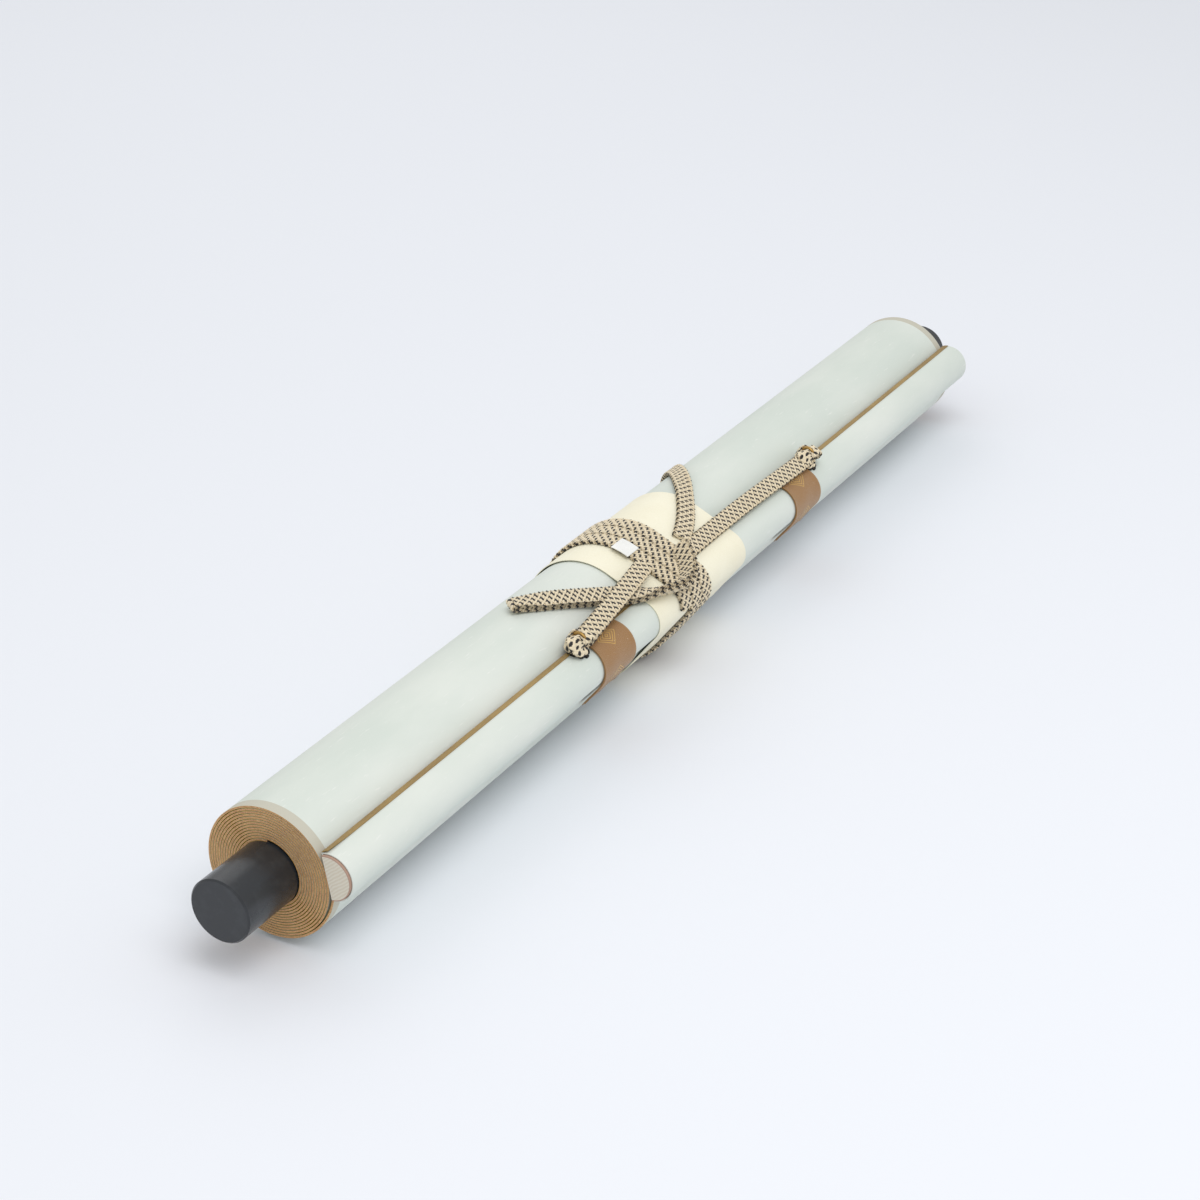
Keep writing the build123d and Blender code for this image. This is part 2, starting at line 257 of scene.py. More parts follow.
@dataclass(frozen=True)
class EndGrain:
    """Pale wood seen at its end, with faint slanting grain and a pinkish rim."""

    centre: Point2
    radius: float
    wood: tuple = linear(226, 220, 204)
    grain: tuple = linear(208, 196, 174)
    rim: tuple = linear(178, 146, 128)

    def make(self) -> bpy.types.Material:
        """Material of the finish."""
        graph = Graph("stave_wood")
        place = graph.place()
        turned = graph.add("Mapping", {"Vector": place, "Rotation": (0.7, 0.0, 0.0)})
        wave = graph.add("TexWave", {"Vector": turned.outputs[0], "Scale": 260.0,
                                     "Distortion": 3.0, "Detail": 2.0}, bands_direction="Z")
        parts = graph.add("SeparateXYZ", {0: place})
        dy = graph.maths("SUBTRACT", parts.outputs[1], self.centre[0] * MM)
        dz = graph.maths("SUBTRACT", parts.outputs[2], self.centre[1] * MM)
        away = graph.maths("SQRT", graph.maths("ADD", graph.maths("POWER", dy, 2.0),
                                               graph.maths("POWER", dz, 2.0)))
        rim = graph.ramp(away, (self.radius - 0.55) * MM, (self.radius - 0.35) * MM)
        colour = graph.blend(graph.maths("MULTIPLY", wave.outputs["Fac"], 0.6),
                             self.wood, self.grain)
        graph.shade(Base_Color=graph.blend(rim, colour, self.rim), Roughness=0.75)
        graph.bump(wave.outputs["Fac"], 0.00005)
        return graph.material


@dataclass(frozen=True)
class Lacquer:
    """Satin black lacquer of the knobs, a little worn."""

    black: tuple = linear(40, 43, 47)
    worn: tuple = linear(50, 54, 58)

    def make(self) -> bpy.types.Material:
        """Material of the finish."""
        graph = Graph("black_lacquer")
        marks = graph.noise(180.0, 6.0)
        turned = graph.noise(500.0, 2.0, (6.0, 1.0, 1.0))
        colour = graph.blend(graph.ramp(marks, 0.5, 0.8), self.black, self.worn)
        graph.shade(Base_Color=colour, Roughness=0.27)
        graph.bump(turned, 0.00003)
        return graph.material


class Braid(Enum):
    """The two yarns of the braid."""

    CREAM = ("braid_cream", linear(252, 238, 208), linear(234, 212, 170))
    BLACK = ("braid_black", linear(34, 31, 30), linear(20, 18, 18))

    def make(self) -> bpy.types.Material:
        """Material of the yarn, its fine threads laid by UV."""
        name, light, dark = self.value
        graph = Graph(name)
        threads = graph.add("TexWave", {"Vector": graph.uv(), "Scale": 1.6, "Distortion": 0.6},
                            bands_direction="Y")
        fuzz = graph.noise(1800.0, 2.0)
        share = graph.maths("MULTIPLY", threads.outputs["Fac"], fuzz)
        graph.shade(Base_Color=graph.blend(share, light, dark), Roughness=0.62)
        graph.shader.inputs["Sheen Weight"].default_value = 0.15
        graph.bump(threads.outputs["Fac"], 0.0001, 0.8)
        return graph.material


# ---- the scroll's section ---------------------------------------------------

@dataclass
class Section:
    """Section of roll and stave across the roller, with the roller axis at 0.

    The cords follow its outline, which is the hull of the roll's circle and of
    the covered stave's circle.
    """

    roll_radius: float = 28.2
    slack: float = 0.45
    sheet: float = 0.65
    turns: int = 12
    leave: float = 33.0
    core_radius: float = 13.75
    stave_width: float = 19.0
    stave_height: float = 10.5
    stave_tilt: float = 11.0
    stave_lift: float = 1.5
    pocket: float = 0.4
    glue: float = 0.2
    seat: float = 0.2
    axis: Point2 = field(init=False)
    pitch: float = field(init=False)
    out: Point2 = field(init=False)
    up: Point2 = field(init=False)
    flat: float = field(init=False)
    wood_radius: float = field(init=False)
    middle: float = field(init=False)
    stave: Point2 = field(init=False)
    cover: float = field(init=False)
    wrap: float = field(init=False)
    upper: float = field(init=False)
    lower: float = field(init=False)
    bridge: float = field(init=False)
    roll_arc: float = field(init=False)

    def __post_init__(self) -> None:
        """Work out the stave's place and the lines that bridge roll and stave."""
        low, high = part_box("left_knob")
        self.axis = ((low[1] + high[1]) / 2 / MM, (low[2] + high[2]) / 2 / MM)
        self.pitch = (self.roll_radius - self.sheet - self.core_radius) / self.turns
        contact = math.radians(180.0 - self.stave_tilt)
        self.out = (math.cos(contact), math.sin(contact))
        self.up = (math.sin(contact), -math.cos(contact))
        side = self.roll_radius - self.pitch / 2 + self.pitch / 2 * math.sin(contact)
        self.flat = side + self.seat + self.pocket + self.glue
        bow = (self.stave_width ** 2 / 4 + self.stave_height ** 2) / (2 * self.stave_height)
        self.wood_radius = bow
        self.middle = self.flat + self.stave_height - bow
        self.stave = self.at(self.middle, self.stave_lift)
        self.cover = bow + self.pocket + self.glue
        self.wrap = self.roll_radius + self.slack
        gap = math.hypot(*self.stave)
        towards = math.pi - math.asin(self.stave[1] / gap)
        spread = math.acos((self.wrap - self.cover) / gap)
        self.upper = towards - spread
        self.lower = towards + spread
        self.bridge = gap * math.sin(spread)
        self.roll_arc = FULL - 2 * spread

    def at(self, outwards: float, upwards: float) -> Point2:
        """Point at a distance out of the roll and along the stave's flat."""
        return (self.out[0] * outwards + self.up[0] * upwards,
                self.out[1] * outwards + self.up[1] * upwards)

    def stave_at(self, x: float) -> Vector:
        """Centre of the stave's round side, at a place along the roller."""
        return Vector((x, self.axis[0] + self.stave[0], self.axis[1] + self.stave[1]))

    def around(self, x: float, run: float, height: float) -> tuple[Vector, Vector]:
        """Place on the wrapped outline.

        Args:
            x: Place along the roller.
            run: Distance along the outline from the stave's crown, up over the roll.
            height: Height above the outline.

        Returns:
            The point and the outward normal, in millimetres.
        """
        roll_span = self.wrap * self.roll_arc
        if run <= 0:
            angle = self.upper - run / self.cover
            centre, radius = self.stave, self.cover
        elif run < self.bridge:
            angle, centre, radius = self.upper, self.stave, self.cover
        elif run < self.bridge + roll_span:
            angle = self.upper - (run - self.bridge) / self.wrap
            centre, radius = (0.0, 0.0), self.wrap
        else:
            angle, centre, radius = self.lower, (0.0, 0.0), self.wrap
        normal = Vector((0.0, math.cos(angle), math.sin(angle)))
        point = Vector((x, self.axis[0] + centre[0], self.axis[1] + centre[1]))
        point += normal * (radius + height)
        ahead = Vector((0.0, math.sin(angle), -math.cos(angle)))
        if 0 < run < self.bridge:
            point += ahead * run
        over = run - self.bridge - roll_span
        if over > 0:
            point += ahead * over
        return point, normal

    def loop_length(self) -> float:
        """Length of the whole outline."""
        stave_span = self.cover * (self.lower - self.upper)
        return 2 * self.bridge + self.wrap * self.roll_arc + stave_span

    def looped(self, x: float, run: float, height: float) -> tuple[Vector, Vector]:
        """Place on the outline, for a run that may pass its end."""
        total = self.loop_length()
        start = -self.cover * (self.lower - self.upper)
        return self.around(x, start + (run - start) % total, height)

    def arc(self, centre: Point2, radius: float, start: float, end: float,
            step: float = 0.06) -> list[Point2]:
        """Points of an arc from one angle to another, no more than a step apart."""
        count = max(2, math.ceil(abs(end - start) / step))
        return [(centre[0] + radius * math.cos(start + (end - start) * i / count),
                 centre[1] + radius * math.sin(start + (end - start) * i / count))
                for i in range(count + 1)]

    def strip(self, offset: float) -> list[Point2]:
        """Side of the rolled strip at an offset from its middle line.

        Half circles about two centres, half a pitch apart, make the turns. Two
        arcs then lead from the last turn to the lower edge of the stave.
        """
        half, points = math.pi / 2, []
        for turn in range(2 * self.turns + 1):
            radius = self.core_radius + self.sheet / 2 + turn * self.pitch / 2 + offset
            if turn % 2 == 0:
                points += self.arc((0.0, 0.0), radius, half, -half)[:-1]
            else:
                points += self.arc((0.0, self.pitch / 2), radius, -half, -3 * half)[:-1]
        middle = self.core_radius + self.sheet / 2 + (2 * self.turns + 1) * self.pitch / 2
        leave = -half - math.radians(self.leave)
        start = (middle * math.cos(leave), self.pitch / 2 + middle * math.sin(leave))
        grow = self.pocket + self.glue
        flat = self.flat - grow
        width = math.sqrt(self.cover ** 2 - (self.middle - flat) ** 2)
        edge = self.at(flat + self.sheet / 2, self.stave_lift - width)
        chord = (edge[0] - start[0], edge[1] - start[1])
        inward = -(chord[0] * math.cos(leave) + chord[1] * math.sin(leave))
        swing = (chord[0] ** 2 + chord[1] ** 2) / (2 * inward)
        centre = (start[0] - swing * math.cos(leave), start[1] - swing * math.sin(leave))
        end = -math.acos((edge[0] - centre[0]) / swing)
        points += self.arc((0.0, self.pitch / 2), middle + offset, -half, leave)[:-1]
        points += self.arc(centre, swing + offset, leave, end)
        return points

    def half_round(self, grow: float) -> list[Point2]:
        """Closed outline of the stave, grown all round by an offset."""
        flat = self.flat - grow
        radius = self.wood_radius + grow
        width = math.sqrt(radius ** 2 - (self.middle - flat) ** 2)
        reach = math.asin(width / radius)
        inwards = math.radians(-self.stave_tilt)
        top = inwards + reach
        bottom = inwards - reach + FULL
        return self.arc(self.stave, radius, top, bottom, 0.05)


# ---- meshes -----------------------------------------------------------------

def put(name: str, verts: Sequence, faces: Sequence, finishes: Sequence[bpy.types.Material],
        slots: Optional[Sequence[int]] = None, uvs: Optional[Sequence] = None,
        smooth: float = 40.0) -> bpy.types.Object:
    """Make a mesh object in the scene.

    Args:
        name: Name of the piece.
        verts: Vertices in millimetres.
        faces: Vertex numbers of each face.
        finishes: Materials.
        slots: Material number of each face.
        uvs: UV of each vertex, in millimetres.
        smooth: Largest angle, in degrees, that is shaded smooth.

    Returns:
        The object.
    """
    mesh = bpy.data.meshes.new(name)
    mesh.from_pydata([tuple(c * MM for c in v) for v in verts], [], faces)
    for finish in finishes:
        mesh.materials.append(finish)
    if slots:
        mesh.polygons.foreach_set("material_index", slots)
    if uvs:
        layer = mesh.uv_layers.new(name="UVMap")
        flat = [c for loop in mesh.loops for c in uvs[loop.vertex_index]]
        layer.data.foreach_set("uv", flat)
    mesh.shade_smooth()
    mesh.set_sharp_from_angle(angle=math.radians(smooth))
    mesh.update()
    piece = bpy.data.objects.new(name, mesh)
    bpy.context.scene.collection.objects.link(piece)
    return piece


def ride(piece: bpy.types.Object, *nodes: str) -> bpy.types.Object:
    """Let a piece ride on the scroll and stand for CAD nodes."""
    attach(piece, BODY)
    if nodes:
        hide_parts(*nodes)
    log.info("%s: %d faces", piece.name, len(piece.data.polygons))
    return piece


def extruded(rings: Sequence[Sequence[Vector]]) -> tuple[list, list]:
    """Vertices and faces of a capped skin over closed rings of equal count."""
    count = len(rings[0])
    verts = [tuple(p) for ring in rings for p in ring]
    last = (len(rings) - 1) * count
    faces = []
    for a in range(0, last, count):
        b = a + count
        for i in range(count):
            j = (i + 1) % count
            faces.append((a + i, a + j, b + j, b + i))
    faces.append(tuple(range(count))[::-1])
    faces.append(tuple(range(last, last + count)))
    return verts, faces


@dataclass
class FlatBraid:
    """Flat tubular braid: yarns that cross over a thin padded core."""

    width: float = 9.2
    thickness: float = 1.8
    carriers: int = 8
    lay: float = 16.0
    yarn_width: float = 0.82
    yarn_height: float = 0.3
    yarn_inset: Point2 = (0.4, 0.3)
    dark_swell: float = 1.22
    edge_rate: float = 5.0
    weave: float = 0.2
    steps: int = 32
    sides: int = 6
    core_inset: Point2 = (0.75, 0.45)
    core_step: float = 1.2
    core_sides: int = 16
    smooth: float = 60.0
    finishes: tuple = ()

    def build(self, name: str, line: Sequence[Vector], normals: Sequence[Vector],
              floor: float = 0.02) -> bpy.types.Object:
        """Lay the braid along a line.

        Args:
            name: Name of the piece.
            line: Points of the middle line, in millimetres.
            normals: Direction out of the braid's flat side at each point.
            floor: Lowest height that a vertex may have.

        Returns:
            The braid as one mesh.
        """
        runs = [0.0]
        for a, b in zip(line, line[1:]):
            runs.append(runs[-1] + (b - a).length)
        total = runs[-1]
        place = self.placer(line, normals, runs)
        verts, faces = extruded(self.core(place, total))
        slots = [0] * len(faces)
        uvs = [(0.0, 0.0)] * len(verts)
        steps = max(6, int(total / self.lay * self.steps))
        stops = [total * i / steps for i in range(steps + 1)]
        for hand in (1, -1):
            for carrier in range(self.carriers):
                dark = hand < 0 and carrier % 2 == 0
                broad = self.yarn_width * (self.dark_swell if dark else 1.0)
                rings = [self.ring(place, run, hand, carrier, broad) for run in stops]
                skin, joins = extruded(rings)
                base = len(verts)
                verts += skin
                faces += [tuple(base + n for n in face) for face in joins]
                slots += [int(dark)] * len(joins)
                uvs += [(run, k * 0.5) for run in stops for k in range(self.sides)]
        verts = [(x, y, max(z, floor)) for x, y, z in verts]
        return put(name, verts, faces, self.finishes, slots, uvs, self.smooth)

    def core(self, place: Callable, total: float) -> list[list[Vector]]:
        """Flat oval rings of the padding that fills the braid."""
        half = self.width / 2 - self.core_inset[0]
        thick = self.thickness / 2 - self.core_inset[1]
        count = max(4, int(total / self.core_step))
        rings = []
        for i in range(count + 1):
            origin, across, out = place(total * i / count)
            ring = []
            for k in range(self.core_sides):
                angle = FULL * k / self.core_sides
                ring.append(origin + across * half * math.cos(angle)
                            + out * thick * math.sin(angle))
            rings.append(ring)
        return rings

    def placer(self, line: Sequence[Vector], normals: Sequence[Vector],
               runs: Sequence[float]) -> Callable:
        """Function from a run along the line to origin, across and out."""
        def place(run: float) -> tuple[Vector, Vector, Vector]:
            low, high = 0, len(runs) - 1
            while high - low > 1:
                mid = (low + high) // 2
                if runs[mid] <= run:
                    low = mid
                else:
                    high = mid
            share = (run - runs[low]) / max(runs[high] - runs[low], 1e-9)
            before, after = max(low - 1, 0), min(high + 1, len(line) - 1)
            first = line[high] - line[before]
            second = line[after] - line[low]
            ahead = first.lerp(second, share).normalized()
            out = normals[low].lerp(normals[high], share)
            out = (out - ahead * out.dot(ahead)).normalized()
            return line[low].lerp(line[high], share), ahead.cross(out), out
        return place

    def ring(self, place: Callable, run: float, hand: int, carrier: int,
             broad: float) -> list[Vector]:
        """Ring of one yarn, which circles the core and weaves as it goes.

        Args:
            place: Function from placer.
            run: Distance along the braid.
            hand: 1 or -1, the way in which the yarn circles.
            carrier: Number of the yarn among those of its hand.
            broad: Half width of the yarn.

        Returns:
            Points of the ring.
        """
        origin, across, out = place(run)
        turn = run / self.lay + carrier / self.carriers
        around = (hand * turn + 0.5 / self.carriers) % 1.0
        half = self.width / 2 - self.yarn_inset[0]
        thick = self.thickness / 2 - self.yarn_inset[1]
        lift = hand * self.weave * math.cos(FULL * self.carriers * run / self.lay)
        # In one turn side goes from 1 to -1 over the top and back underneath.
        side = 1.0 - 4.0 * around if around < 0.5 else 4.0 * around - 3.0
        inward = min(1.0, (1.0 - abs(side)) * self.edge_rate)
        top = math.copysign(math.sin(inward * math.pi / 2), 0.5 - around)
        edge = 1.0 - abs(top)
        middle = origin + across * (side * (half + lift * edge)) + out * (top * (thick + lift))
        spread = across * (1 - edge) + out * edge
        rim = out * (1 - edge) + across * edge
        angles = [FULL * k / self.sides for k in range(self.sides)]
        return [middle + spread * (broad * math.cos(angle))
                + rim * (self.yarn_height * math.sin(angle)) for angle in angles]


def spline_line(name: str, stops: Sequence[Vector], between: int = 14) -> list[Vector]:
    """Smooth line with given stops as its control points.

    Args:
        name: Name for the passing curve.
        stops: Control points in millimetres.
        between: Points read for each stretch.

    Returns:
        Points of the NURBS line, in millimetres.
    """
    curve = bpy.data.curves.new(name, "CURVE")
    curve.dimensions = "3D"
    curve.resolution_u = between
    spline = curve.splines.new("NURBS")
    spline.points.add(len(stops) - 1)
    for point, stop in zip(spline.points, stops):
        point.co = (*stop, 1.0)
    spline.order_u = 3
    spline.use_endpoint_u = True
    holder = bpy.data.objects.new(name, curve)
    mesh = bpy.data.meshes.new_from_object(holder)
    line = [vertex.co.copy() for vertex in mesh.vertices]
    bpy.data.objects.remove(holder)
    bpy.data.meshes.remove(mesh)
    return line


def eased(share: float) -> float:
    """Share held between 0 and 1, with a soft start and end."""
    share = min(1.0, max(0.0, share))
    return share * share * (3 - 2 * share)


# ---- the sheet, stave and roller --------------------------------------------

@dataclass
class RolledSheet:
    """The mounted sheet: its turns, the stave's pocket and the gold strip."""

    section: Section
    length: float = 586.0
    slices: int = 24
    thickness: float = 0.86
    gilt: float = 0.2
    smooth: float = 35.0
    strip_width: float = 2.8
    strip_thickness: float = 0.3
    strip_lift: float = 0.06
    strip_end: float = 0.3
    foot: float = 0.01
    raised: float = 0.9
    raised_length: float = 7.0

    def build(self) -> None:
        """Make the sheet and its trim."""
        paper = BackPaper(self.length / 2).make()
        edge = SheetEdge().make()
        front = Brocade(3.0, 2.0).make()
        gilt = Mottled("gilt_line", linear(226, 186, 96), linear(186, 142, 64), 0.4,
                       500.0, 2000.0, 0.00003, (1, 1, 1), 0.3).make()
        cover = BackPaper(self.length, name="pocket_paper").make()
        self.roll(paper, edge, gilt)
        self.pocket(cover, edge, front)
        self.gold_strip()

    def lift(self, point: Point2, x: float) -> Vector:
        """Section point as a point in space."""
        return Vector((x, self.section.axis[0] + point[0], self.section.axis[1] + point[1]))

    def drawn_out(self, points: Sequence[Point2]) -> list[tuple]:
        """Section points repeated at each slice along the roll."""
        verts = []
        for i in range(self.slices + 1):
            x = self.length * (i / self.slices - 0.5)
            verts += [tuple(self.lift(p, x)) for p in points]
        return verts

    def roll(self, paper: bpy.types.Material, edge: bpy.types.Material,
             gilt: bpy.types.Material) -> None:
        """Turns of the sheet, with gilt lines and cloth on the cut edges."""
        top = self.section.sheet / 2
        bottom = top - self.thickness
        levels = (top, top - self.gilt, bottom + self.gilt, bottom)
        sides = [self.section.strip(level) for level in levels]
        count, deep = len(sides[0]), len(sides)
        verts = self.drawn_out([p for side in sides for p in side])
        faces, slots = [], []
        inner = (deep - 1) * count
        for i in range(self.slices):
            a, b = i * deep * count, (i + 1) * deep * count
            for k in range(count - 1):
                faces.append((a + k + 1, a + k, b + k, b + k + 1))
                near, far = a + inner + k, b + inner + k
                faces.append((near, near + 1, far + 1, far))
                slots += [0, 0]
            for level in range(deep - 1):
                near, far = level * count, (level + 1) * count
                faces.append((a + near, a + far, b + far, b + near))
                near, far = near + count - 1, far + count - 1
                faces.append((a + far, a + near, b + near, b + far))
                slots += [1, 1]
        last = self.slices * deep * count
        for level in range(deep - 1):
            slot = 1 if level == 1 else 2
            for k in range(level * count, (level + 1) * count - 1):
                faces.append((k, k + 1, count + k + 1, count + k))
                faces.append((last + k + 1, last + k, last + count + k, last + count + k + 1))
                slots += [slot, slot]
        piece = put("rolled_sheet", verts, faces, [paper, edge, gilt], slots, smooth=self.smooth)
        ride(piece, "scroll_sheet")

    def pocket(self, paper: bpy.types.Material, edge: bpy.types.Material,
               front: bpy.types.Material) -> None:
        """Pocket round the stave: paper outside, cloth inside and on the flat."""
        outer = self.section.half_round(self.section.pocket + self.section.glue)
        inner = self.section.half_round(self.section.glue)
        count = min(len(outer), len(inner))
        inner = [inner[round(i * (len(inner) - 1) / (count - 1))] for i in range(count)]
        outer = [outer[round(i * (len(outer) - 1) / (count - 1))] for i in range(count)]
        verts = self.drawn_out(outer + inner)
        faces, slots = [], []
        for i in range(self.slices):
            a, b = i * 2 * count, (i + 1) * 2 * count
            for k in range(count):
                n = (k + 1) % count
                faces.append((a + k, a + n, b + n, b + k))
                faces.append((a + count + n, a + count + k, b + count + k, b + count + n))
                slots += [2 if k == count - 1 else 0, 2]
        last = self.slices * 2 * count
        for k in range(count):
            n = (k + 1) % count
            faces.append((k + count, n + count, n, k))
            faces.append((last + n + count, last + k + count, last + k, last + n))
            slots += [0, 0]
        piece = put("stave_pocket", verts, faces, [paper, edge, front], slots, smooth=self.smooth)
        ride(piece)

    def gold_strip(self) -> None:
        """Gold strip pasted along the pocket's top edge, lifting at one end."""
        section = self.section
        radius = section.cover + self.strip_lift
        inset = section.middle - section.flat + section.pocket + section.glue
        reach = math.asin(math.sqrt(section.cover ** 2 - inset ** 2) / section.cover)
        top = math.radians(-section.stave_tilt) + reach
        foot = top - self.foot
        crest = top + self.strip_width / radius
        outer = section.arc(section.stave, radius + self.strip_thickness, foot, crest)
        inner = section.arc(section.stave, radius, crest, foot)
        last = len(outer) - 1
        shares = [k / last for k in range(last + 1)]
        outline = list(zip(outer + inner, shares + shares[::-1]))
        count = self.slices * 2
        rings = []
        for i in range(count + 1):
            x = (self.length - 2 * self.strip_end) * (i / count - 0.5)
            raised = self.raised * math.exp(-(x + self.length / 2) / self.raised_length)
            ring = []
            for p, share in outline:
                out = (p[0] - section.stave[0], p[1] - section.stave[1])
                grow = raised * share / math.hypot(*out)
                ring.append(self.lift((p[0] + out[0] * grow, p[1] + out[1] * grow), x))
            rings.append(ring)
        verts, faces = extruded(rings)
        gold = Mottled("gold_strip", linear(170, 140, 78), linear(126, 100, 52), 0.5,
                       160.0, 1800.0, 0.0001, (0.3, 1.0, 1.0), 0.1)
        ride(put("gold_edge_strip", verts, faces, [gold.make()], smooth=50.0))


@dataclass
class CadPieces:
    """CAD nodes that stay as they are and only get their finishes."""

    section: Section

    def dress(self) -> None:
        """Give each node its finish."""
        wood = EndGrain(self.section.stave_at(0.0)[1:], self.section.wood_radius).make()
        lacquer = Lacquer().make()
        brass = Mottled("eyelet_wire", linear(196, 160, 96), linear(150, 116, 64), 0.35,
                        300.0, 2400.0, 0.00003, (1, 1, 1), 0.9).make()
        dark = Mottled("washer_metal", linear(60, 54, 48), linear(26, 24, 22), 0.5,
                       400.0, 2400.0, 0.00004, (1, 1, 1), 0.6).make()
        roller = Mottled("roller_wood", linear(214, 190, 146), linear(186, 156, 110), 0.7,
                         60.0, 900.0, 0.0001, (0.1, 1.0, 1.0)).make()
        card = Mottled("band_card", linear(247, 243, 222), linear(238, 232, 206), 0.6,
                       40.0, 1500.0, 0.00005).make()
        tape = Mottled("cord_tape", linear(246, 246, 242), linear(228, 229, 226), 0.55,
                       120.0, 2000.0, 0.00005).make()
        finishes = {
            "stave": wood, "roller_core": roller, "left_knob": lacquer, "right_knob": lacquer,
            "left_eyelet": brass, "right_eyelet": brass, "left_washer": dark,
            "right_washer": dark, "paper_band": card, "cord_end_tape": tape}
        for name, finish in finishes.items():
            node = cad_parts[name]
            for slot in node.material_slots:
                slot.material = finish
            if not node.material_slots:
                node.data.materials.append(finish)


@dataclass
class Ribbon:
    """Figured ribbon over the stave, of two layers with a gap at the edges."""

    section: Section
    x: float
    name: str
    width: float = 26.0
    tail: float = 15.0
    start: float = 58.0
    gap: float = 0.22
    layer: float = 0.32
    between: float = 0.12
    ripple: float = 0.12
    ripple_rate: float = 0.22
    curl: float = 0.25
    steps: int = 48
    cells: int = 14

    def build(self, cloth: bpy.types.Material) -> None:
        """Make both layers as one piece of folded cloth."""
        radius = self.section.cover + self.gap
        first = math.radians(self.start)
        span = self.section.lower - first
        total = span * radius + self.tail
        stops = [total * i / self.steps for i in range(self.steps + 1)]
        shares = [k / self.cells for k in range(self.cells + 1)]
        across = [share * self.width for share in shares + shares[::-1]]
        verts, faces, uvs = [], [], []
        for number in range(2):
            level = radius + number * (self.layer + self.between)
            skin, joins = extruded([self.ring(run, level, first, span) for run in stops])
            base = len(verts)
            verts += skin
            faces += [tuple(base + n for n in face) for face in joins]
            uvs += [(place, run) for run in stops for place in across]
        piece = put(self.name, verts, faces, [cloth], uvs=uvs, smooth=50.0)
        ride(piece, self.name.replace("_cloth", ""))

    def ring(self, run: float, radius: float, first: float, span: float) -> list[Vector]:
        """Closed ring across the ribbon.

        Args:
            run: Distance along the ribbon.
            radius: Radius of the layer's lower side round the stave.
            first: Angle at which the ribbon starts.
            span: Angle over which it lies on the stave; past that it is straight.

        Returns:
            Points of the ring.
        """
        angle = first + min(run / radius, span)
        over = max(0.0, run - span * radius)
        out = Vector((0.0, math.cos(angle), math.sin(angle)))
        along = Vector((0.0, -math.sin(angle), math.cos(angle)))
        centre = self.section.stave_at(self.x)
        top, bottom = [], []
        for k in range(self.cells + 1):
            share = k / self.cells
            phase = 3.0 * share * math.pi + run * self.ripple_rate
            ripple = self.ripple * math.sin(phase) + self.ripple
            curl = self.curl * (2.0 * share - 1.0) ** 6
            base = centre + out * (radius + ripple + curl) + along * over
            base += Vector(((share - 0.5) * self.width, 0.0, 0.0))
            top.append(base + out * self.layer)
            bottom.append(base)
        return top + bottom[::-1]


# ---- cords ------------------------------------------------------------------

